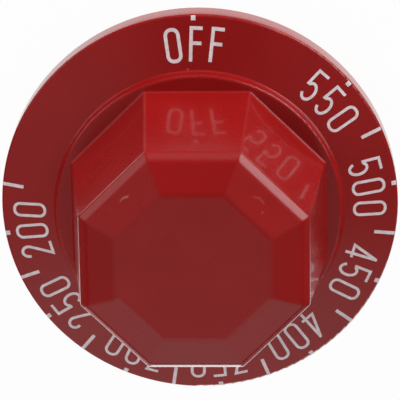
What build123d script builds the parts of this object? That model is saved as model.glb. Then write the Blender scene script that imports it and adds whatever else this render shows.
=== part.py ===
from build123d import *
import math
import os

# Push-on oven control dial: one moulded piece with an eight-sided grip on a round
# skirt, hollow at the back, and a spring strip that holds it on a flatted shaft.
# The shaft axis is Z, the rear edge of the rim lies on z = 0, and the off mark faces +Y.
# Sizes are in millimetres.

# Skirt
disc_diameter = 63.5
rim_height = 4.0
rim_wall = 2.0
rim_edge_radius = 0.45
face_rise = 1.7
skin = 2.3

# Round step between the printed face and the grip
step_top_diameter = 45.5
step_height = 1.65
step_draft = 0.3
step_edge_radius = 0.45
step_root_radius = 0.45
step_ledge = 1.0

# Eight-sided grip, its widths measured across the flats; its foot leaves a ledge on the step
grip_sides = 8
grip_shoulder_width = 35.2
grip_wall_height = 21.2
grip_root_radius = 0.35
grip_wall = 2.4
band_inset = 1.05
band_height = 1.25
crown_rise = 2.15
crown_skin = 2.6
table_width = 23.7
shoulder_radius = 0.9
band_edge_radius = 2.2
table_edge_radius = 2.4
wall_ridge_radius = 0.6
band_ridge_radius = 1.2
crown_ridge_radius = 2.2

# Hub and ribs inside the grip
hub_diameter = 13.0
hub_recess = 1.0
rib_count = 4
rib_thickness = 1.6
rib_recess = 9.0
rib_root = 0.6

# Socket for a flatted shaft
shaft_diameter = 6.35
shaft_flat_height = 5.56
shaft_clearance = 0.025
flat_clearance = 0.05
lead_clearance = 0.325
lead_length = 4.0
socket_depth = 21.0
mouth_chamfer = 0.4

# Spring strip and its pocket behind the flat
spring_width = 2.6
spring_thickness = 0.4
spring_length = 12.0
spring_foot = 1.5
spring_reach = 0.3
pocket_depth = 0.8
pocket_side_clearance = 0.1

# Heights closer than this count as the same when edges are chosen
same_height = 0.01

# Places that follow from the sizes above
disc_radius = disc_diameter / 2
step_top_radius = step_top_diameter / 2
step_foot_radius = step_top_radius + step_draft
half_side = math.radians(180 / grip_sides)
grip_foot_width = 2 * (step_top_radius - step_ledge) * math.cos(half_side)
face_top_z = rim_height + face_rise
platform_z = face_top_z + step_height
ceiling_z = platform_z - skin
shoulder_z = platform_z + grip_wall_height
band_z = shoulder_z + band_height
table_z = band_z + crown_rise
socket_radius = shaft_diameter / 2 + shaft_clearance
flat_offset = shaft_flat_height - shaft_diameter / 2 + flat_clearance
lead_radius = shaft_diameter / 2 + lead_clearance
lead_z = hub_recess + mouth_chamfer
flat_z = lead_z + lead_length
socket_end_z = hub_recess + socket_depth
pocket_y = -(flat_offset + pocket_depth)
pocket_end_z = flat_z + spring_length


def turned(points, corner_radii=0):
    """Solid of revolution about Z from a closed profile of (radius, height) points."""
    outline = FilletPolyline(*points, radius=corner_radii, close=True)
    return revolve(Plane.XZ * make_face(outline), Axis.Z)


def edges_at(solid, z):
    """Edges that lie at one height."""
    return solid.edges().filter_by_position(Axis.Z, z - same_height, z + same_height)


def ridges(solid, low_z, high_z):
    """Straight edges that rise from one height to another."""
    straight = solid.edges().filter_by(GeomType.LINE)
    return straight.filter_by_position(Axis.Z, low_z + same_height, high_z - same_height)


def face_height(radius):
    """Height of the sloping printed face at a distance from the axis."""
    slope = face_rise / (disc_radius - step_foot_radius)
    return rim_height + slope * (disc_radius - radius)


def faceted(widths):
    """Convex eight-sided solid of flat facets, from its width across the flats at each height."""
    corners = []
    for z, width in widths.items():
        reach = width / 2 / math.cos(half_side)
        ring = PolarLocations(reach, grip_sides, start_angle=math.degrees(half_side))
        corners += [place.position + (0, 0, z) for place in ring]
    return ConvexPolyhedron(corners)


def grip_form(inset, drop, foot_z):
    """Tapered grip with its sloping band, crown facets and flat table.

    The walls stand inset from the outer ones, the crown lies drop below the outer one,
    and the walls start at foot_z.
    """
    taper = (grip_foot_width - grip_shoulder_width) / grip_wall_height
    shoulder_width = grip_shoulder_width + taper * drop - 2 * inset
    return faceted(
        {
            foot_z: shoulder_width + taper * (shoulder_z - drop - foot_z),
            shoulder_z - drop: shoulder_width,
            band_z - drop: shoulder_width - 2 * band_inset,
            table_z - drop: shoulder_width - grip_shoulder_width + table_width,
        }
    )


def skirt():
    """Rim, sloping printed face and round step, as a closed solid."""
    points = [
        (0, 0),
        (disc_radius, 0),
        (disc_radius, rim_height),
        (step_foot_radius, face_top_z),
        (step_top_radius, platform_z),
        (0, platform_z),
    ]
    return turned(points, [0, 0, rim_edge_radius, step_root_radius, step_edge_radius, 0])


def grip():
    """Eight-sided grip with its ridges rounded, then its edges all round, as a closed solid."""
    solid = grip_form(0, 0, platform_z)
    solid = fillet(ridges(solid, band_z, table_z), crown_ridge_radius)
    solid = fillet(ridges(solid, platform_z, shoulder_z), wall_ridge_radius)
    solid = fillet(ridges(solid, shoulder_z, band_z), band_ridge_radius)
    solid = fillet(edges_at(solid, table_z), table_edge_radius)
    solid = fillet(edges_at(solid, band_z), band_edge_radius)
    return fillet(edges_at(solid, shoulder_z), shoulder_radius)


def outer_form():
    """Skirt and grip as one closed solid, with the grip's foot blended into the step."""
    solid = skirt() + grip()
    foot = edges_at(solid, platform_z).sort_by(SortBy.LENGTH)[:-1]
    return fillet(foot, grip_root_radius)


def rear_hollow():
    """Space behind the printed face and inside the grip."""
    inner_rim = disc_radius - rim_wall
    inner_step = step_foot_radius - skin
    recess = turned(
        [
            (0, 0),
            (inner_rim, 0),
            (inner_rim, face_height(inner_rim) - skin),
            (inner_step, face_height(inner_step) - skin),
            (inner_step, ceiling_z),
            (0, ceiling_z),
        ]
    )
    return recess + grip_form(grip_wall, crown_skin, ceiling_z)


def hub_and_ribs():
    """Shaft hub, with ribs between the grip's flats that tie it to the walls and crown."""
    top_z = table_z - crown_skin + rib_root
    hub = Pos(0, 0, hub_recess) * extrude(Circle(hub_diameter / 2), top_z - hub_recess)
    plan = Rectangle(grip_foot_width, rib_thickness, align=(Align.MIN, Align.CENTER))
    web = Pos(0, 0, rib_recess) * extrude(plan, top_z - rib_recess)
    pitch = 360 / rib_count
    webs = [Rot(0, 0, pitch * (index + 0.5)) * web for index in range(rib_count)]
    reach = grip_form(grip_wall - rib_root, crown_skin - rib_root, ceiling_z)
    return hub + [web & reach for web in webs]


def shaft_socket():
    """Wider round lead at the mouth, flatted socket beyond it, and the spring strip's pocket."""
    bore = turned(
        [
            (0, hub_recess),
            (lead_radius + mouth_chamfer, hub_recess),
            (lead_radius, lead_z),
            (lead_radius, flat_z),
            (socket_radius, flat_z),
            (socket_radius, socket_end_z),
            (0, socket_end_z),
        ]
    )
    land_plan = Rectangle(hub_diameter, hub_diameter, align=(Align.CENTER, Align.MAX))
    land = Pos(0, -flat_offset, flat_z) * extrude(land_plan, socket_end_z - flat_z)
    pocket_width = spring_width + 2 * pocket_side_clearance
    pocket_plan = Rectangle(pocket_width, -pocket_y, align=(Align.CENTER, Align.MAX))
    pocket = Pos(0, 0, flat_z) * extrude(pocket_plan, spring_length)
    return bore - land + pocket


def dial_body():
    """The whole moulding."""
    return outer_form() - rear_hollow() + hub_and_ribs() - shaft_socket()


def shaft_spring():
    """Bowed spring strip: its feet lie on the pocket's wall and its bow stands proud of the flat."""
    bow = pocket_depth + spring_reach - spring_thickness
    middle_z = flat_z + spring_length / 2

    def strip_side(y):
        """One face of the strip, from its lower end to its upper end."""
        low_bend = (y, flat_z + spring_foot)
        high_bend = (y, pocket_end_z - spring_foot)
        arc = ThreePointArc(low_bend, (y + bow, middle_z), high_bend)
        return [Line((y, flat_z), low_bend), arc, Line(high_bend, (y, pocket_end_z))]

    front_y = pocket_y + spring_thickness
    ends = [Line((pocket_y, z), (front_y, z)) for z in (flat_z, pocket_end_z)]
    outline = strip_side(pocket_y) + strip_side(front_y) + ends
    return extrude(Plane.YZ * make_face(outline), spring_width / 2, both=True)


os.makedirs("parts", exist_ok=True)
export_step(dial_body(), "parts/dial_body.step")
export_step(shaft_spring(), "parts/shaft_spring.step")
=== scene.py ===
"""Finishes, printed scale, studio and camera for the push-on oven control dial.

The CAD nodes keep their shapes and get their finishes here. The scale is printed on the sloping
face. Sizes in the classes are in millimetres and degrees, and meshes are in metres in the CAD
frame: the shaft axis is Z, the rear edge of the rim lies on z = 0 and the off mark faces +Y.
Angles on the scale run clockwise from the off mark, as a person looking at the dial reads them.
"""

import logging
import math
from dataclasses import dataclass
from enum import Enum

import bmesh
import bpy
from mathutils import Matrix, Vector


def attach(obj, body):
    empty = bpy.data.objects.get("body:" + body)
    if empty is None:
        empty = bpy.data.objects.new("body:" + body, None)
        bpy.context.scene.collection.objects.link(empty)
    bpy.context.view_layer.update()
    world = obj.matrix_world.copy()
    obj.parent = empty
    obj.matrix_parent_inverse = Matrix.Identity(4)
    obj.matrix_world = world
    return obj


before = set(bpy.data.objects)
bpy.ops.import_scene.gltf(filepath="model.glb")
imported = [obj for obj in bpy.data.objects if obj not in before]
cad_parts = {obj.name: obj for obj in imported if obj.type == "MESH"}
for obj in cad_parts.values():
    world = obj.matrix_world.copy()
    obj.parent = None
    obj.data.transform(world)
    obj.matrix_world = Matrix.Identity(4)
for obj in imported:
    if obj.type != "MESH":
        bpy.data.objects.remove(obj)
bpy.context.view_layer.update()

MM = 0.001
BODY = "root"
log = logging.getLogger("dial")

Colour = tuple[float, float, float]
Point = tuple[float, float]
Place = tuple[float, float, float]
Value = float | int | tuple[float, ...] | bpy.types.NodeSocket | bpy.types.ID

WHITE: Colour = (1.0, 1.0, 1.0)
ORIGIN: Place = (0.0, 0.0, 0.0)


class Slot(Enum):
    """Material slots of the record."""

    RED_MOULDING = "red_moulding"
    SPRING_STEEL = "spring_steel"
    SCALE_PRINT = "scale_print"


class Mark(Enum):
    """Kinds of mark along the rim, by the name of their piece."""

    SQUARE = "scale_squares"
    TICK = "scale_ticks"


class NodePen:
    """Writes nodes into one tree and joins them."""

    def __init__(self, tree: bpy.types.NodeTree) -> None:
        """Starts with an empty tree."""
        self.tree = tree
        tree.nodes.clear()

    def add(
        self, kind: str, inputs: dict[str | int, Value] | None = None, **settings: object
    ) -> bpy.types.Node:
        """Adds a node.

        Args:
            kind: Blender's type name of the node.
            inputs: Values for its sockets, or the sockets that feed them.
            **settings: Attributes of the node itself.

        Returns:
            The new node.
        """
        node = self.tree.nodes.new(kind)
        for name, value in settings.items():
            setattr(node, name, value)
        for key, value in (inputs or {}).items():
            if isinstance(value, bpy.types.NodeSocket):
                self.tree.links.new(value, node.inputs[key])
            else:
                node.inputs[key].default_value = value
        return node

    def math(self, operation: str, *values: Value) -> bpy.types.NodeSocket:
        """Adds a Math node.

        Args:
            operation: The node's operation.
            *values: Its inputs in order.

        Returns:
            The result's socket.
        """
        node = self.add("ShaderNodeMath", dict(enumerate(values)), operation=operation)
        return node.outputs["Value"]

    def vector(self, operation: str, *values: Value) -> bpy.types.NodeSocket:
        """Adds a Vector Math node.

        Args:
            operation: The node's operation.
            *values: Its inputs in order.

        Returns:
            The socket of the vector, or of the number for a length or a dot product.
        """
        node = self.add("ShaderNodeVectorMath", dict(enumerate(values)), operation=operation)
        return node.outputs["Value" if operation in ("LENGTH", "DISTANCE", "DOT_PRODUCT") else "Vector"]

    def ease(self, value: Value, low: Value, high: Value) -> bpy.types.NodeSocket:
        """Rises smoothly from 0 to 1 over a range.

        Args:
            value: The number that runs through the range.
            low: Where the result is 0.
            high: Where the result is 1.

        Returns:
            The result's socket.
        """
        inputs = {"Value": value, "From Min": low, "From Max": high}
        return self.add("ShaderNodeMapRange", inputs, interpolation_type="SMOOTHSTEP").outputs["Result"]

    def blend(self, share: Value, first: Value, second: Value) -> bpy.types.NodeSocket:
        """Mixes two colours.

        Args:
            share: Share of the second colour.
            first: Colour where the share is 0.
            second: Colour where the share is 1.

        Returns:
            The mixed colour's socket.
        """
        return self.add("ShaderNodeMix", {0: share, 6: first, 7: second}, data_type="RGBA").outputs[2]

    def layer(
        self, share: Value, first: bpy.types.NodeSocket, second: bpy.types.NodeSocket
    ) -> bpy.types.NodeSocket:
        """Mixes two shaders.

        Args:
            share: Share of the second shader.
            first: Shader where the share is 0.
            second: Shader where the share is 1.

        Returns:
            The mixed shader's socket.
        """
        return self.add("ShaderNodeMixShader", {0: share, 1: first, 2: second}).outputs["Shader"]


def opaque(colour: Colour) -> tuple[float, float, float, float]:
    """Gives a colour its full opacity."""
    return (*colour, 1.0)


class EffectGroup:
    """Shader node group of one surface effect, placed in each material that shows it."""

    def __init__(self, name: str, inputs: dict[str, float | Place], output: str) -> None:
        """Makes the group's sockets.

        Args:
            name: Name of the node group.
            inputs: Its inputs with their usual values; a vector is a tuple.
            output: Name of the number it puts out.
        """
        self.tree = bpy.data.node_groups.new(name, "ShaderNodeTree")
        self.output = output
        self.pen = NodePen(self.tree)
        for socket, value in inputs.items():
            kind = "NodeSocketVector" if isinstance(value, tuple) else "NodeSocketFloat"
            self.tree.interface.new_socket(socket, in_out="INPUT", socket_type=kind).default_value = value
        self.tree.interface.new_socket(output, in_out="OUTPUT", socket_type="NodeSocketFloat")
        self.inputs = self.pen.add("NodeGroupInput").outputs

    def noise(self, scale: Value, detail: float) -> bpy.types.NodeSocket:
        """Adds a noise at the group's Vector input.

        Args:
            scale: Number of its waves in a metre.
            detail: Number of finer layers.

        Returns:
            The noise's socket.
        """
        inputs = {"Vector": self.inputs["Vector"], "Scale": scale, "Detail": detail}
        return self.pen.add("ShaderNodeTexNoise", inputs).outputs["Fac"]

    def close(self, result: bpy.types.NodeSocket) -> None:
        """Joins the effect's result to the group's output."""
        self.pen.add("NodeGroupOutput", {self.output: result})

    def put(self, pen: NodePen, inputs: dict[str, Value]) -> bpy.types.NodeSocket:
        """Places the effect in a material.

        Args:
            pen: Pen of the material's tree.
            inputs: Values for the group's inputs.

        Returns:
            The effect's socket.
        """
        return pen.add("ShaderNodeGroup", inputs, node_tree=self.tree).outputs[self.output]


class Cloudiness(EffectGroup):
    """Slow, soft variation over a surface."""

    DETAIL: float = 3.0
    RANGE: Point = (0.3, 0.7)

    def __init__(self) -> None:
        """Builds the effect from one noise."""
        super().__init__("cloudiness", {"Vector": ORIGIN, "Size": 0.01}, "Cloud")
        scale = self.pen.math("DIVIDE", 1.0, self.inputs["Size"])
        self.close(self.pen.ease(self.noise(scale, self.DETAIL), *self.RANGE))


class Grain(EffectGroup):
    """Fine unevenness that a mould or an ink film leaves."""

    RIPPLE_DETAIL: float = 1.0
    FINE_DETAIL: float = 2.0
    FINE_SHARE: float = 0.25

    def __init__(self) -> None:
        """Builds the effect from a broad ripple and a fine one."""
        super().__init__("grain", {"Vector": ORIGIN, "Size": 0.001, "Fineness": 4.0}, "Height")
        scale = self.pen.math("DIVIDE", 1.0, self.inputs["Size"])
        fine_scale = self.pen.math("MULTIPLY", scale, self.inputs["Fineness"])
        ripple = self.noise(scale, self.RIPPLE_DETAIL)
        fine = self.noise(fine_scale, self.FINE_DETAIL)
        self.close(self.pen.math("MULTIPLY_ADD", fine, self.FINE_SHARE, ripple))


class Hairlines(EffectGroup):
    """Sparse, fine handling lines, long along one direction."""

    PATCH_SCALE: float = 180.0
    PATCH_DETAIL: float = 1.0
    PATCH_RANGE: Point = (0.55, 0.68)

    def __init__(self) -> None:
        """Builds the effect from the cell borders of a stretched pattern."""
        usual = {"Vector": ORIGIN, "Turn": ORIGIN, "Spacing": 0.002, "Stretch": 0.05, "Width": 0.03}
        super().__init__("hairlines", usual, "Line")
        turned = self.pen.add(
            "ShaderNodeVectorRotate",
            {"Vector": self.inputs["Vector"], "Rotation": self.inputs["Turn"]},
            rotation_type="EULER_XYZ",
        ).outputs["Vector"]
        shares = {"X": self.inputs["Stretch"], "Y": 1.0, "Z": 1.0}
        along = self.pen.add("ShaderNodeCombineXYZ", shares).outputs["Vector"]
        scale = self.pen.math("DIVIDE", 1.0, self.inputs["Spacing"])
        cells = self.pen.add(
            "ShaderNodeTexVoronoi",
            {"Vector": self.pen.vector("MULTIPLY", turned, along), "Scale": scale},
            feature="DISTANCE_TO_EDGE",
        ).outputs["Distance"]
        line = self.pen.math("SUBTRACT", 1.0, self.pen.ease(cells, 0.0, self.inputs["Width"]))
        patch = self.pen.ease(self.noise(self.PATCH_SCALE, self.PATCH_DETAIL), *self.PATCH_RANGE)
        self.close(self.pen.math("MULTIPLY", line, patch))


class NickAndSheen(EffectGroup):
    """One line between two points of a surface, for short scuffs and for painted highlights along ridges."""

    def __init__(self) -> None:
        """Builds the effect from the distance to a line between the points."""
        usual = {"Vector": ORIGIN, "Start": ORIGIN, "End": ORIGIN, "Width": 0.0002}
        super().__init__("nick_and_sheen", usual, "ScuffAndSheenStrength")
        pen, given = self.pen, self.inputs
        run = pen.vector("SUBTRACT", given["End"], given["Start"])
        offset = pen.vector("SUBTRACT", given["Vector"], given["Start"])
        along = pen.vector("DOT_PRODUCT", offset, run)
        reached = pen.math("DIVIDE", along, pen.vector("DOT_PRODUCT", run, run))
        share = pen.add("ShaderNodeClamp", {"Value": reached}).outputs["Result"]
        nearest = pen.add("ShaderNodeVectorMath", {0: run, "Scale": share}, operation="SCALE")
        gap = pen.vector("LENGTH", pen.vector("SUBTRACT", offset, nearest.outputs["Vector"]))
        self.close(pen.math("SUBTRACT", 1.0, pen.ease(gap, 0.0, given["Width"])))


class Effects:
    """The surface effects that the finishes share, each built once."""

    def __init__(self) -> None:
        """Builds the groups."""
        self.cloudiness = Cloudiness()
        self.grain = Grain()
        self.hairlines = Hairlines()
        self.nick_and_sheen = NickAndSheen()


def new_material(name: str) -> tuple[bpy.types.Material, NodePen]:
    """Makes an empty material.

    Args:
        name: Its name.

    Returns:
        The material and a pen for its nodes.
    """
    material = bpy.data.materials.new(name)
    material.use_nodes = True
    return material, NodePen(material.node_tree)


@dataclass(frozen=True)
class ScuffAndSheenLine:
    """A pale line between two points of the moulding; the list holds scuffs and painted highlights along
    ridges.
    """

    start: Place
    end: Place
    width: float
    strength: float


@dataclass(frozen=True)
class RedMoulding:
    """Polished red plastic outside, plainer where the core of the mould shaped it."""

    red: Colour = (0.298, 0.0066, 0.0066)
    deep_red: Colour = (0.279, 0.006, 0.006)
    # Pale colour of the scuffs, and of the painted highlight along the upper wall ridges
    scuff_and_sheen: Colour = (0.66, 0.30, 0.27)
    roughness: float = 0.26
    refraction: float = 1.46
    shine: float = 0.3
    core_roughness: float = 0.42
    skin_weight: float = 0.45
    skin_roughness: float = 0.05
    ripple_size: float = 2.2
    ripple_depth: float = 0.0015
    cloud_size: float = 11.0
    cloud_roughness: float = 0.03
    hairline_turn: Place = (0.4, 0.2, 0.7)
    hairline_spacing: float = 1.6
    hairline_roughness: float = 0.04
    hairline_depth: float = 0.05
    scuff_and_sheen_roughness: float = 0.2
    core_depth: float = 1.2
    outer_form: tuple[Point, ...] = (
        (0.0, 31.95),
        (11.85, 31.95),
        (16.55, 29.8),
        (17.6, 28.55),
        (20.1, 7.35),
        (22.75, 7.35),
        (23.05, 5.7),
        (31.5, 4.0),
        (31.6, 0.0),
    )
    scuffs_and_sheens: tuple[ScuffAndSheenLine, ...] = (
        ScuffAndSheenLine((-10.94, 10.43, 30.46), (-10.56, 10.86, 30.44), 0.2, 0.32),
        ScuffAndSheenLine((-10.56, 10.86, 30.44), (-9.79, 11.2, 30.58), 0.25, 0.48),
        ScuffAndSheenLine((9.16, 11.13, 30.81), (9.95, 10.95, 30.61), 0.26, 0.1),
        ScuffAndSheenLine((9.95, 10.95, 30.61), (10.62, 10.14, 30.66), 0.26, 0.1),
        ScuffAndSheenLine((10.39, 8.73, 31.19), (10.45, 8.85, 31.12), 0.18, 0.2),
        ScuffAndSheenLine((-1.52, 23.33, 5.64), (-1.42, 23.33, 5.64), 0.16, 0.5),
        # Painted highlight: faint pale lines along the two upper corner ridges of the grip's wall, from foot
        # to shoulder
        ScuffAndSheenLine((-8.3, 20.05, 7.6), (-7.28, 17.57, 28.3), 0.42, 0.07),
        ScuffAndSheenLine((8.3, 20.05, 7.6), (7.28, 17.57, 28.3), 0.36, 0.03),
    )

    def core_side(self, pen: NodePen, at: bpy.types.NodeSocket) -> bpy.types.NodeSocket:
        """Marks the surfaces that lie well below the outer form.

        Args:
            pen: Pen of the material's tree.
            at: Object coordinates.

        Returns:
            Socket that is 1 on the core's side and 0 outside.
        """
        span, rise = self.outer_form[-1][0], self.outer_form[0][1]
        parts = pen.add("ShaderNodeSeparateXYZ", {"Vector": at}).outputs
        flat = pen.add("ShaderNodeCombineXYZ", {"X": parts["X"], "Y": parts["Y"]}).outputs["Vector"]
        outward = pen.math("DIVIDE", pen.vector("LENGTH", flat), span * MM)
        ramp = pen.add("ShaderNodeValToRGB", {"Fac": outward})
        stops = ramp.color_ramp.elements
        while len(stops) < len(self.outer_form):
            stops.new(1.0)
        for stop, (radius, height) in zip(stops, self.outer_form):
            stop.position = radius / span
            stop.color = opaque((height / rise,) * 3)
        form = pen.math("MULTIPLY", ramp.outputs["Color"], rise * MM)
        return pen.math("GREATER_THAN", pen.math("SUBTRACT", form, parts["Z"]), self.core_depth * MM)

    def scuff_and_sheen_mask(self, pen: NodePen, at: bpy.types.NodeSocket, effects: Effects) -> bpy.types.NodeSocket:
        """Joins the small scuffs of the crown and the painted highlights along the upper ridges of the walls.

        Args:
            pen: Pen of the material's tree.
            at: Object coordinates.
            effects: Shared surface effects.

        Returns:
            Socket of the strength of the scuffs and the painted highlights, 0 between them.
        """
        mask: Value = 0.0
        for scuff_and_sheen_line in self.scuffs_and_sheens:
            places = {"Start": tuple(Vector(scuff_and_sheen_line.start) * MM), "End": tuple(Vector(scuff_and_sheen_line.end) * MM)}
            nick_and_sheen = effects.nick_and_sheen.put(pen, {"Vector": at, "Width": scuff_and_sheen_line.width * MM, **places})
            mask = pen.math("MAXIMUM", mask, pen.math("MULTIPLY", nick_and_sheen, scuff_and_sheen_line.strength))
        return mask

    def material(self, effects: Effects) -> bpy.types.Material:
        """Builds the finish.

        Args:
            effects: Shared surface effects.

        Returns:
            The material.
        """
        material, pen = new_material(Slot.RED_MOULDING.value)
        at = pen.add("ShaderNodeTexCoord").outputs["Object"]
        cloud = effects.cloudiness.put(pen, {"Vector": at, "Size": self.cloud_size * MM})
        ripple = effects.grain.put(pen, {"Vector": at, "Size": self.ripple_size * MM})
        handling = {"Turn": self.hairline_turn, "Spacing": self.hairline_spacing * MM}
        lines = effects.hairlines.put(pen, {"Vector": at, **handling})
        core = self.core_side(pen, at)
        scuff_and_sheen = self.scuff_and_sheen_mask(pen, at, effects)
        plain = pen.blend(cloud, opaque(self.deep_red), opaque(self.red))
        # Pale colour over the scuffs, and painted highlight along the upper wall ridges
        colour = pen.blend(scuff_and_sheen, plain, opaque(self.scuff_and_sheen))
        rough = pen.math("MULTIPLY_ADD", cloud, self.cloud_roughness, self.roughness)
        rough = pen.math("MULTIPLY_ADD", lines, self.hairline_roughness, rough)
        rough = pen.math("MULTIPLY_ADD", scuff_and_sheen, self.scuff_and_sheen_roughness, rough)
        rough = pen.math("MULTIPLY_ADD", core, self.core_roughness - self.roughness, rough)
        skin = pen.math("MULTIPLY", pen.math("SUBTRACT", 1.0, core), self.skin_weight)
        height = pen.math("MULTIPLY_ADD", lines, -self.hairline_depth, ripple)
        relief = {"Height": height, "Strength": 1.0, "Distance": self.ripple_depth * MM}
        bump = pen.add("ShaderNodeBump", relief)
        shader = pen.add(
            "ShaderNodeBsdfPrincipled",
            {
                "Base Color": colour,
                "Roughness": rough,
                "IOR": self.refraction,
                "Specular IOR Level": self.shine,
                "Coat Weight": skin,
                "Coat Roughness": self.skin_roughness,
                "Normal": bump.outputs["Normal"],
            },
        )
        pen.add("ShaderNodeOutputMaterial", {"Surface": shader.outputs["BSDF"]})
        return material


@dataclass(frozen=True)
class ScalePrint:
    """White ink, a little thinner in places, so that some red shows through."""

    white: Colour = (0.83, 0.75, 0.77)
    thin: Colour = (0.72, 0.61, 0.63)
    roughness: float = 0.45
    cloud_size: float = 0.9
    film_size: float = 0.25
    film_roughness: float = 0.1
    film_relief: float = 0.6
    film_depth: float = 0.004

    def material(self, effects: Effects) -> bpy.types.Material:
        """Builds the finish.

        Args:
            effects: Shared surface effects.

        Returns:
            The material.
        """
        material, pen = new_material(Slot.SCALE_PRINT.value)
        at = pen.add("ShaderNodeTexCoord").outputs["Object"]
        cloud = effects.cloudiness.put(pen, {"Vector": at, "Size": self.cloud_size * MM})
        film = effects.grain.put(pen, {"Vector": at, "Size": self.film_size * MM})
        relief = {"Height": film, "Strength": self.film_relief, "Distance": self.film_depth * MM}
        bump = pen.add("ShaderNodeBump", relief)
        shader = pen.add(
            "ShaderNodeBsdfPrincipled",
            {
                "Base Color": pen.blend(cloud, opaque(self.thin), opaque(self.white)),
                "Roughness": pen.math("MULTIPLY_ADD", film, self.film_roughness, self.roughness),
                "Normal": bump.outputs["Normal"],
            },
        )
        pen.add("ShaderNodeOutputMaterial", {"Surface": shader.outputs["BSDF"]})
        return material


@dataclass(frozen=True)
class SpringSteel:
    """Rolled strip with fine lines along its length."""

    steel: Colour = (0.56, 0.56, 0.57)
    shade: Colour = (0.42, 0.42, 0.44)
    roughness: float = 0.28
    cloud_size: float = 2.5
    line_turn: Place = (0.0, math.pi / 2, 0.0)
    line_spacing: float = 0.12
    line_stretch: float = 0.02
    line_width: float = 0.3
    line_roughness: float = 0.15
    line_relief: float = 0.5
    line_depth: float = 0.002

    def material(self, effects: Effects) -> bpy.types.Material:
        """Builds the finish.

        Args:
            effects: Shared surface effects.

        Returns:
            The material.
        """
        material, pen = new_material(Slot.SPRING_STEEL.value)
        at = pen.add("ShaderNodeTexCoord").outputs["Object"]
        cloud = effects.cloudiness.put(pen, {"Vector": at, "Size": self.cloud_size * MM})
        rolled = {
            "Vector": at,
            "Turn": self.line_turn,
            "Spacing": self.line_spacing * MM,
            "Stretch": self.line_stretch,
            "Width": self.line_width,
        }
        lines = effects.hairlines.put(pen, rolled)
        relief = {"Height": lines, "Strength": self.line_relief, "Distance": self.line_depth * MM}
        bump = pen.add("ShaderNodeBump", relief)
        shader = pen.add(
            "ShaderNodeBsdfPrincipled",
            {
                "Base Color": pen.blend(cloud, opaque(self.shade), opaque(self.steel)),
                "Metallic": 1.0,
                "Roughness": pen.math("MULTIPLY_ADD", lines, self.line_roughness, self.roughness),
                "Normal": bump.outputs["Normal"],
            },
        )
        pen.add("ShaderNodeOutputMaterial", {"Surface": shader.outputs["BSDF"]})
        return material


@dataclass(frozen=True)
class SlopingFace:
    """The printed face of the skirt and the rounding at its rim, as the CAD has them."""

    disc_radius: float = 31.75
    rim_height: float = 4.0
    rise: float = 1.7
    foot_radius: float = 23.05
    edge_radius: float = 0.45

    @property
    def slope(self) -> float:
        """Rise of the face for each millimetre towards the axis."""
        return self.rise / (self.disc_radius - self.foot_radius)

    @property
    def round_centre(self) -> Point:
        """Radius and height of the centre of the rim's rounding."""
        down = self.edge_radius * math.hypot(1.0, self.slope)
        return self.disc_radius - self.edge_radius, self.rim_height + self.slope * self.edge_radius - down

    @property
    def round_start(self) -> float:
        """Radius at which the face passes into the rim's rounding."""
        return self.round_centre[0] + self.edge_radius * self.slope / math.hypot(1.0, self.slope)

    def height(self, radius: float) -> float:
        """Height of the surface at a distance from the axis.

        Args:
            radius: Distance from the axis.

        Returns:
            Height above the rear edge of the rim.
        """
        if radius <= self.round_start:
            return self.rim_height + self.slope * (self.disc_radius - radius)
        centre_radius, centre_height = self.round_centre
        return centre_height + math.sqrt(max(self.edge_radius**2 - (radius - centre_radius) ** 2, 0.0))


@dataclass(frozen=True)
class Stroke:
    """Centre line of one pen stroke in a figure's own plane, x to its right and y to its top."""

    points: tuple[Point, ...]
    closed: bool = False


def arc(centre: Point, radii: Point, start: float, end: float, steps: int = 12) -> tuple[Point, ...]:
    """Points along an ellipse.

    Args:
        centre: Its centre.
        radii: Half its width and half its height.
        start: Angle of the first point, in degrees from the right, anticlockwise.
        end: Angle of the last point.
        steps: Number of chords.

    Returns:
        The points.
    """
    angles = [math.radians(start + (end - start) * step / steps) for step in range(steps + 1)]
    return tuple((centre[0] + radii[0] * math.cos(a), centre[1] + radii[1] * math.sin(a)) for a in angles)


@dataclass(frozen=True)
class Figures:
    """Narrow engraver's letters and digits, each drawn as strokes above its base line."""

    height: float = 5.45
    stroke: float = 0.52
    half_width: float = 1.0
    corner: float = 0.9
    bar_reach: float = 1.12
    bowl_top: float = 3.08
    cross_height: float = 1.2
    arm_height: float = 2.85

    def strokes(self, character: str) -> tuple[Stroke, ...]:
        """Draws a letter or digit.

        Args:
            character: One of O F 0 2 3 4 5.

        Returns:
            Its strokes.
        """
        base, top = self.stroke / 2, self.height - self.stroke / 2
        middle = (base + self.bowl_top) / 2
        bowl_radii = (self.half_width - 0.06, self.bowl_top - middle)
        if character in "O0":
            inner, low, high = self.half_width - self.corner, base + self.corner, top - self.corner
            rounds = ((inner, high, 0), (-inner, high, 90), (-inner, low, 180), (inner, low, 270))
            loop = [arc((x, y), (self.corner,) * 2, turn, turn + 90, 6) for x, y, turn in rounds]
            return (Stroke(sum(loop, ()), closed=True),)
        if character == "F":
            stem = -0.76
            arm = ((stem + base, self.arm_height), (0.88, self.arm_height))
            return Stroke(((stem, 0.0), (stem, top), (1.02, top))), Stroke(arm)
        if character == "5":
            bowl = Stroke(arc((0.0, middle), bowl_radii, 140, -152, 24))
            return Stroke(((self.bar_reach, top), (-0.8, top), (-0.93, 2.42))), bowl
        if character == "4":
            cross = ((0.7, top - 0.1), (-1.0, self.cross_height), (1.15, self.cross_height))
            return Stroke(cross), Stroke(((0.82, self.height), (0.34, 0.0)))
        if character == "3":
            bowl = arc((-0.05, middle + 0.05), (bowl_radii[0], bowl_radii[1] + 0.05), 84, -152, 20)
            return (Stroke(((-1.05, top), (0.86, top), *bowl)),)
        hook = arc((0.0, top - 1.0), (0.86, 1.0), 192, -22, 18)
        return (Stroke((*hook, (0.4, 2.95), (-0.93, base), (self.bar_reach, base))),)


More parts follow.
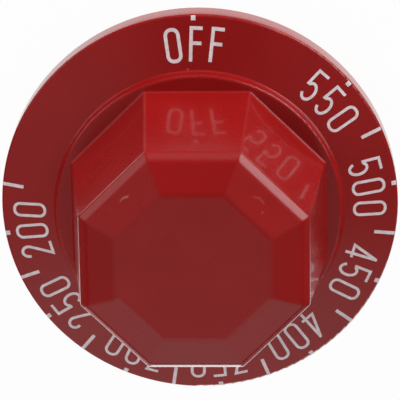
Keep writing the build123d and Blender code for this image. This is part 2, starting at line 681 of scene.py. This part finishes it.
@dataclass(frozen=True)
class Label:
    """One label of the scale: its characters' angles and the angle of its square mark."""

    text: str
    angles: tuple[float, ...]
    mark: float
    stroke: float = 0.46
    leans: tuple[float, ...] = (0.0, 0.0, 0.0)


class MarkTree:
    """Geometry Nodes tree that lays one bar at each point and bends it on the sloping face."""

    VERTICES: tuple[int, int, int] = (16, 4, 2)

    def __init__(self, face: SlopingFace) -> None:
        """Builds the tree.

        Args:
            face: The face that the bars lie on.
        """
        self.tree = bpy.data.node_groups.new("printed_marks", "GeometryNodeTree")
        self.tree.is_modifier = True
        self.names: dict[str, str] = {}
        sockets = {
            "Places": "NodeSocketGeometry",
            "Length": "NodeSocketFloat",
            "Width": "NodeSocketFloat",
            "Thickness": "NodeSocketFloat",
            "Proud": "NodeSocketFloat",
            "Ink": "NodeSocketMaterial",
        }
        for name, kind in sockets.items():
            socket = self.tree.interface.new_socket(name, in_out="INPUT", socket_type=kind)
            self.names[name] = socket.identifier
        self.tree.interface.new_socket("Marks", in_out="OUTPUT", socket_type="NodeSocketGeometry")
        pen = NodePen(self.tree)
        given = pen.add("NodeGroupInput").outputs
        lengths = {"X": given["Length"], "Y": given["Width"], "Z": given["Thickness"]}
        size = pen.add("ShaderNodeCombineXYZ", lengths).outputs["Vector"]
        counts = {f"Vertices {axis}": count for axis, count in zip("XYZ", self.VERTICES)}
        bar = pen.add("GeometryNodeMeshCube", {"Size": size, **counts})
        position = pen.add("GeometryNodeInputPosition").outputs["Position"]
        outward = pen.add("FunctionNodeAlignRotationToVector", {"Vector": position}, axis="X", pivot_axis="Z")
        laid = pen.add(
            "GeometryNodeInstanceOnPoints",
            {
                "Points": given["Places"],
                "Instance": bar.outputs["Mesh"],
                "Rotation": outward.outputs["Rotation"],
            },
        )
        real = pen.add("GeometryNodeRealizeInstances", {"Geometry": laid.outputs["Instances"]})
        level = pen.math("SUBTRACT", given["Proud"], pen.math("MULTIPLY", given["Thickness"], 0.5))
        lift = pen.math("ADD", self.face_height(pen, face, position), level)
        rise = pen.add("ShaderNodeCombineXYZ", {"Z": lift}).outputs["Vector"]
        bent = pen.add("GeometryNodeSetPosition", {"Geometry": real.outputs["Geometry"], "Offset": rise})
        inked = pen.add(
            "GeometryNodeSetMaterial", {"Geometry": bent.outputs["Geometry"], "Material": given["Ink"]}
        )
        pen.add("NodeGroupOutput", {"Marks": inked.outputs["Geometry"]})

    @staticmethod
    def face_height(pen: NodePen, face: SlopingFace, position: bpy.types.NodeSocket) -> bpy.types.NodeSocket:
        """Height of the face under a point, with the rim's rounding.

        Args:
            pen: Pen of the tree.
            face: The face.
            position: Socket of the point's place.

        Returns:
            Socket of the height in metres.
        """
        parts = pen.add("ShaderNodeSeparateXYZ", {"Vector": position}).outputs
        flat = pen.add("ShaderNodeCombineXYZ", {"X": parts["X"], "Y": parts["Y"]}).outputs["Vector"]
        radius = pen.vector("LENGTH", flat)
        apex = face.rim_height + face.slope * face.disc_radius
        cone = pen.math("MULTIPLY_ADD", radius, -face.slope, apex * MM)
        centre_radius, centre_height = face.round_centre
        along = pen.math("SUBTRACT", radius, centre_radius * MM)
        across = pen.math("SUBTRACT", (face.edge_radius * MM) ** 2, pen.math("MULTIPLY", along, along))
        rounding = pen.math("ADD", pen.math("SQRT", pen.math("MAXIMUM", across, 0.0)), centre_height * MM)
        past = pen.math("GREATER_THAN", radius, face.round_start * MM)
        drop = pen.math("MULTIPLY", past, pen.math("SUBTRACT", rounding, cone))
        return pen.math("ADD", cone, drop)

    def marks(
        self, kind: Mark, places: list[Vector], sizes: dict[str, float], ink: bpy.types.Material
    ) -> bpy.types.Object:
        """Lays marks at the given places.

        Args:
            kind: Kind of mark, which names the piece.
            places: Middle of each mark, on z = 0, in metres.
            sizes: Length, Width, Thickness and Proud in millimetres.
            ink: Material of the marks.

        Returns:
            The piece, as a plain mesh.
        """
        points = bpy.data.meshes.new(kind.value + "_places")
        points.from_pydata(places, [], [])
        piece = bpy.data.objects.new(kind.value, points)
        bpy.context.scene.collection.objects.link(piece)
        modifier = piece.modifiers.new("marks", "NODES")
        modifier.node_group = self.tree
        for name, size in sizes.items():
            modifier[self.names[name]] = size * MM
        modifier[self.names["Ink"]] = ink
        evaluated = piece.evaluated_get(bpy.context.evaluated_depsgraph_get())
        mesh = bpy.data.meshes.new_from_object(evaluated)
        piece.modifiers.remove(modifier)
        piece.data = mesh
        mesh.name = kind.value
        return piece


@dataclass
class DialScale:
    """The printed scale: labels, square marks at the labels and long ticks between them."""

    face: SlopingFace = SlopingFace()
    figures: Figures = Figures()
    base_radius: float = 24.5
    proud: float = 0.02
    thickness: float = 0.05
    layer_rise: float = 0.003
    step: float = 0.35
    same_place: float = 1e-6
    mitre_limit: float = 0.35
    square_length: float = 0.72
    square_width: float = 0.72
    tick_width: float = 0.56
    tick_inner_radius: float = 28.3
    mark_outer_radius: float = 31.62
    labels: tuple[Label, ...] = (
        Label("OFF", (-7.92, -0.38, 6.52), -1.02, stroke=0.55, leans=(0.0, -2.5, 0.0)),
        Label("550", (42.03, 49.41, 57.16), 49.4),
        Label("500", (75.62, 82.89, 90.59), 83.1),
        Label("450", (106.77, 114.1, 121.37), 114.5),
        Label("400", (137.83, 145.32, 152.85), 145.1),
        Label("350", (167.46, 174.1, 181.15), 174.3),
        Label("300", (195.99, 203.21, 210.4), 203.4),
        Label("250", (225.57, 232.73, 239.84), 232.4),
        Label("200", (254.4, 261.51, 269.15), 261.5),
    )
    ticks: tuple[float, ...] = (65.87, 98.8, 129.35, 159.65, 188.5, 218.0, 246.9, 276.9)

    def around(self, radius: float, angle: float) -> Vector:
        """Place on z = 0 at a radius and a scale angle, in metres."""
        turn = math.radians(angle)
        return Vector((math.sin(turn), math.cos(turn), 0.0)) * radius * MM

    def on_face(self, spot: Point, angle: float, lift: float) -> Vector:
        """Puts a point of a figure on the face.

        Args:
            spot: The point in the figure's plane.
            angle: Scale angle of the figure's middle.
            lift: Height above the face.

        Returns:
            The place in metres.
        """
        turn = math.radians(angle)
        outward = self.base_radius + spot[1]
        x = outward * math.sin(turn) + spot[0] * math.cos(turn)
        y = outward * math.cos(turn) - spot[0] * math.sin(turn)
        return Vector((x, y, self.face.height(math.hypot(x, y)) + lift)) * MM

    def divided(self, stroke: Stroke) -> list[Vector]:
        """Divides a stroke's centre line so that it can follow the face.

        Args:
            stroke: The stroke.

        Returns:
            Points no further apart than the step.
        """
        corners = [Vector(point) for point in stroke.points]
        if stroke.closed:
            corners.append(corners[0])
        line = [corners[0]]
        for start, end in zip(corners, corners[1:]):
            length = (end - start).length
            if length < self.same_place:
                continue
            parts = max(1, math.ceil(length / self.step))
            line += [start.lerp(end, part / parts) for part in range(1, parts + 1)]
        return line[:-1] if stroke.closed else line

    def sideways(self, line: list[Vector], closed: bool) -> list[Vector]:
        """Mitred offsets to the left of a line, for half a stroke of 1.

        Args:
            line: Points of the centre line.
            closed: Whether it is a loop.

        Returns:
            One offset for each point.
        """
        count = len(line)
        offsets = []
        for index, point in enumerate(line):
            before = line[index - 1] if index or closed else None
            after = line[(index + 1) % count] if index + 1 < count or closed else None
            runs = [(point - before).normalized()] if before is not None else []
            runs += [(after - point).normalized()] if after is not None else []
            lefts = [Vector((-run.y, run.x)) for run in runs]
            mitre = sum(lefts, Vector((0.0, 0.0)))
            stretch = 2.0 / max(mitre.length_squared, self.mitre_limit)
            offsets.append(mitre * stretch if len(lefts) == 2 else mitre)
        return offsets

    def draw(
        self, mesh: bmesh.types.BMesh, stroke: Stroke, width: float, angle: float, lean: float, lift: float
    ) -> None:
        """Adds one stroke to a label as a thin closed film.

        Args:
            mesh: Mesh of the label.
            stroke: The stroke in its figure's plane.
            width: Width of the pen.
            angle: Scale angle of the figure's middle.
            lean: Turn of the figure about its own middle, in degrees.
            lift: Height of the film above the face.
        """
        line = self.divided(stroke)
        offsets = self.sideways(line, stroke.closed)
        middle = Vector((0.0, self.figures.height / 2))
        turn = Matrix.Rotation(math.radians(lean), 2)
        rings = []
        for point, offset in zip(line, offsets):
            edges = (point + offset * width / 2, point - offset * width / 2)
            left, right = [(turn @ (edge - middle) + middle).to_tuple() for edge in edges]
            low = lift - self.thickness
            corners = ((left, lift), (right, lift), (right, low), (left, low))
            rings.append([mesh.verts.new(self.on_face(spot, angle, level)) for spot, level in corners])
        pairs = list(zip(rings, rings[1:]))
        if stroke.closed:
            pairs.append((rings[-1], rings[0]))
        else:
            mesh.faces.new(rings[0])
            mesh.faces.new(rings[-1][::-1])
        for first, second in pairs:
            for side in range(4):
                following = (side + 1) % 4
                mesh.faces.new((first[side], first[following], second[following], second[side]))

    def lettering(self, label: Label, ink: bpy.types.Material) -> bpy.types.Object:
        """Prints one label.

        Args:
            label: The label.
            ink: Its material.

        Returns:
            The piece.
        """
        film = bmesh.new()
        for character, angle, lean in zip(label.text, label.angles, label.leans):
            for layer, stroke in enumerate(self.figures.strokes(character)):
                self.draw(film, stroke, label.stroke, angle, lean, self.proud + self.layer_rise * layer)
        bmesh.ops.recalc_face_normals(film, faces=film.faces)
        mesh = bpy.data.meshes.new("label_" + label.text)
        film.to_mesh(mesh)
        film.free()
        mesh.materials.append(ink)
        piece = bpy.data.objects.new(mesh.name, mesh)
        bpy.context.scene.collection.objects.link(piece)
        return piece

    def build(self, ink: bpy.types.Material) -> list[bpy.types.Object]:
        """Prints the whole scale.

        Args:
            ink: Material of the print.

        Returns:
            Its pieces, riding on the dial.
        """
        film = {"Thickness": self.thickness, "Proud": self.proud}
        square = {"Length": self.square_length, "Width": self.square_width, **film}
        tick = {"Length": self.mark_outer_radius - self.tick_inner_radius, "Width": self.tick_width, **film}
        tree = MarkTree(self.face)
        square_radius = self.mark_outer_radius - self.square_length / 2
        tick_radius = self.mark_outer_radius - tick["Length"] / 2
        squares = [self.around(square_radius, label.mark) for label in self.labels]
        ticks = [self.around(tick_radius, angle) for angle in self.ticks]
        pieces = [self.lettering(label, ink) for label in self.labels]
        pieces.append(tree.marks(Mark.SQUARE, squares, square, ink))
        pieces.append(tree.marks(Mark.TICK, ticks, tick, ink))
        for piece in pieces:
            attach(piece, BODY)
        return pieces


@dataclass(frozen=True)
class CadPiece:
    """A CAD node that keeps its shape and gets a finish."""

    node: str
    finish: RedMoulding | SpringSteel

    def dress(self, effects: Effects) -> bpy.types.Object:
        """Gives the node its finish.

        Args:
            effects: Shared surface effects.

        Returns:
            The node's object.
        """
        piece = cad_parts[self.node]
        material = self.finish.material(effects)
        for slot in piece.material_slots:
            slot.material = material
        return piece


@dataclass(frozen=True)
class Glow:
    """A soft bright region around the dial, full within its inner angle and gone at its outer one."""

    towards: Place
    inner: float
    outer: float
    strength: float


@dataclass(frozen=True)
class Gleam:
    """A bright disc of the floor, as polished surfaces mirror it, which fades from inner to outer."""

    middle: Point
    inner: float
    outer: float
    strength: float


@dataclass(frozen=True)
class Panel:
    """A softbox that faces the dial and isn't mirrored by it."""

    name: str
    towards: Place
    width: float
    height: float
    radiance: float
    distance: float = 650.0

    def build(self) -> bpy.types.Object:
        """Makes the lamp.

        Returns:
            Its object.
        """
        lamp = bpy.data.lights.new(self.name, "AREA")
        lamp.shape = "RECTANGLE"
        lamp.size, lamp.size_y = self.width * MM, self.height * MM
        lamp.energy = self.radiance * math.pi * lamp.size * lamp.size_y
        piece = bpy.data.objects.new(self.name, lamp)
        back = Vector(self.towards).normalized()
        piece.location = back * self.distance * MM
        piece.rotation_euler = back.to_track_quat("Z", "Y").to_euler()
        piece.visible_glossy = False
        bpy.context.scene.collection.objects.link(piece)
        return piece


@dataclass(frozen=True)
class Studio:
    """White floor, soft studio light and the room around it."""

    floor_radius: float = 1500.0
    floor_segments: int = 96
    floor_drop: float = 0.05
    floor_white: float = 0.9
    floor_glow: float = 0.965
    gleams: tuple[Gleam, ...] = (
        # The wall of the rim mirrors this one
        Gleam((0.0, 0.0), 32.4, 33.3, 1.15),
        # The left, lower and right shoulders of the grip
        Gleam((-5.0, -28.0), 42, 48, 2.2),
        Gleam((0.0, -60.0), 16, 26, 2.8),
        # The upper left shoulder
        Gleam((-45.0, 27.0), 8, 13, 2.4),
        # The edge of the round step
        Gleam((44.0, 44.0), 12, 18, 1.6),
        Gleam((-44.0, 44.0), 12, 18, 1.6),
        # The top of the grip's wall on the off side
        Gleam((0.0, 48.0), 12.5, 16, 0.2),
    )
    room: float = 0.055
    glows: tuple[Glow, ...] = (
        # The lower crown facets mirror this one
        Glow((0.0, -0.9, 0.43), 24, 50, 0.62),
        # The band's facets on the off side
        Glow((0.84, 0.54, 0.08), 10, 32, 4.3),
        Glow((-0.87, 0.49, 0.05), 8, 28, 1.25),
        Glow((0.0, 0.98, 0.15), 10, 35, 0.24),
        # The table and the other crown facets
        Glow((0.45, -0.3, 0.84), 10, 35, 0.1),
        Glow((-0.45, -0.3, 0.84), 10, 35, 0.26),
        Glow((0.55, 0.25, 0.8), 10, 35, 0.14),
        Glow((-0.55, 0.25, 0.8), 10, 35, 0.09),
    )
    panels: tuple[Panel, ...] = (
        Panel("key_softbox", (0.0, 0.985, 0.17), 500, 200, 5.8),
        Panel("right_softbox", (0.67, 0.73, 0.14), 350, 180, 6.9),
        Panel("left_softbox", (-0.72, 0.3, 0.62), 400, 400, 2.4),
        Panel("low_softbox", (0.0, -0.75, 0.66), 500, 300, 1.35),
    )

    def floor(self) -> bpy.types.Object:
        """Lays the floor under the dial.

        Returns:
            The floor.
        """
        plate = bmesh.new()
        reach = self.floor_radius * MM
        bmesh.ops.create_circle(plate, cap_ends=True, segments=self.floor_segments, radius=reach)
        bmesh.ops.translate(plate, verts=plate.verts, vec=(0.0, 0.0, -self.floor_drop * MM))
        mesh = bpy.data.meshes.new("studio_floor")
        plate.to_mesh(mesh)
        plate.free()
        mesh.materials.append(self.floor_finish())
        piece = bpy.data.objects.new("studio_floor", mesh)
        bpy.context.scene.collection.objects.link(piece)
        return piece

    def floor_finish(self) -> bpy.types.Material:
        """White paper that the camera sees as white, with the dial's shadow, and nothing from below.

        Returns:
            The material.
        """
        material, pen = new_material("studio_paper")
        at = pen.add("ShaderNodeTexCoord").outputs["Object"]
        sight = pen.add("ShaderNodeLightPath").outputs
        mirrored: Value = self.room
        for gleam in self.gleams:
            away = pen.vector("DISTANCE", at, (gleam.middle[0] * MM, gleam.middle[1] * MM, 0.0))
            fade = pen.ease(away, gleam.outer * MM, gleam.inner * MM)
            mirrored = pen.math("MAXIMUM", mirrored, pen.math("MULTIPLY", fade, gleam.strength))
        straight = pen.math("SUBTRACT", 1.0, sight["Is Glossy Ray"])
        strength = pen.math("ADD", straight, pen.math("MULTIPLY", mirrored, sight["Is Glossy Ray"]))
        white = pen.add("ShaderNodeEmission", {"Strength": strength})
        seen = pen.math("MAXIMUM", sight["Is Camera Ray"], sight["Is Transmission Ray"])
        seen = pen.math("MAXIMUM", pen.math("MULTIPLY", seen, self.floor_glow), sight["Is Glossy Ray"])
        paper = pen.add("ShaderNodeBsdfDiffuse", {"Color": opaque((self.floor_white,) * 3)})
        clear = pen.add("ShaderNodeBsdfTransparent")
        upper = pen.layer(seen, paper.outputs["BSDF"], white.outputs["Emission"])
        below = pen.add("ShaderNodeNewGeometry").outputs["Backfacing"]
        sheet = pen.layer(below, upper, clear.outputs["BSDF"])
        pen.add("ShaderNodeOutputMaterial", {"Surface": sheet})
        return material

    def surroundings(self) -> None:
        """Lights the dial from a dim room with soft bright regions, in front of a white background."""
        world = bpy.data.worlds.new("studio_room")
        bpy.context.scene.world = world
        world.use_nodes = True
        pen = NodePen(world.node_tree)
        towards = pen.add("ShaderNodeTexCoord").outputs["Generated"]
        light: Value = self.room
        for glow in self.glows:
            facing = pen.vector("DOT_PRODUCT", towards, tuple(Vector(glow.towards).normalized()))
            lobe = pen.ease(facing, math.cos(math.radians(glow.outer)), math.cos(math.radians(glow.inner)))
            light = pen.math("MULTIPLY_ADD", lobe, glow.strength, light)
        room = pen.add("ShaderNodeBackground", {"Color": opaque(WHITE), "Strength": light})
        white = pen.add("ShaderNodeBackground", {"Color": opaque(WHITE), "Strength": 1.0})
        sight = pen.add("ShaderNodeLightPath").outputs
        seen = pen.math("MAXIMUM", sight["Is Camera Ray"], sight["Is Transmission Ray"])
        mixed = pen.layer(seen, room.outputs["Background"], white.outputs["Background"])
        pen.add("ShaderNodeOutputWorld", {"Surface": mixed})

    def build(self) -> None:
        """Sets up floor, surroundings and lamps."""
        self.floor()
        self.surroundings()
        for panel in self.panels:
            panel.build()


@dataclass(frozen=True)
class PhotoCamera:
    """Camera at the place from which the photograph was taken."""

    place: Place = (15.805, 158.264, 433.68)
    right: Place = (0.999408, -0.013893, -0.031466)
    up: Place = (0.002221, 0.938961, -0.344017)
    back: Place = (0.034325, 0.343743, 0.938436)
    lens: float = 257.35
    sensor: float = 36.0
    near: float = 10.0
    far: float = 10000.0

    def build(self) -> bpy.types.Object:
        """Makes the camera the scene's own.

        Returns:
            Its object.
        """
        data = bpy.data.cameras.new("photo_camera")
        data.lens, data.sensor_width = self.lens, self.sensor
        data.clip_start, data.clip_end = self.near * MM, self.far * MM
        piece = bpy.data.objects.new("photo_camera", data)
        turn = Matrix((self.right, self.up, self.back)).transposed().to_4x4()
        piece.matrix_world = Matrix.Translation(Vector(self.place) * MM) @ turn
        bpy.context.scene.collection.objects.link(piece)
        bpy.context.scene.camera = piece
        return piece


def main() -> None:
    """Dresses the dial, prints its scale and sets up the studio and the camera."""
    logging.basicConfig(level=logging.INFO, format="%(name)s: %(message)s")
    bpy.context.scene.view_settings.view_transform = "Standard"
    effects = Effects()
    for part in (CadPiece("dial_body", RedMoulding()), CadPiece("shaft_spring", SpringSteel())):
        piece = part.dress(effects)
        log.info("%s dressed as %s", piece.name, piece.active_material.name)
    for piece in DialScale().build(ScalePrint().material(effects)):
        log.info("%s printed, %d faces", piece.name, len(piece.data.polygons))
    Studio().build()
    PhotoCamera().build()
    log.info("studio and camera set")


if __name__ == "__main__":
    main()
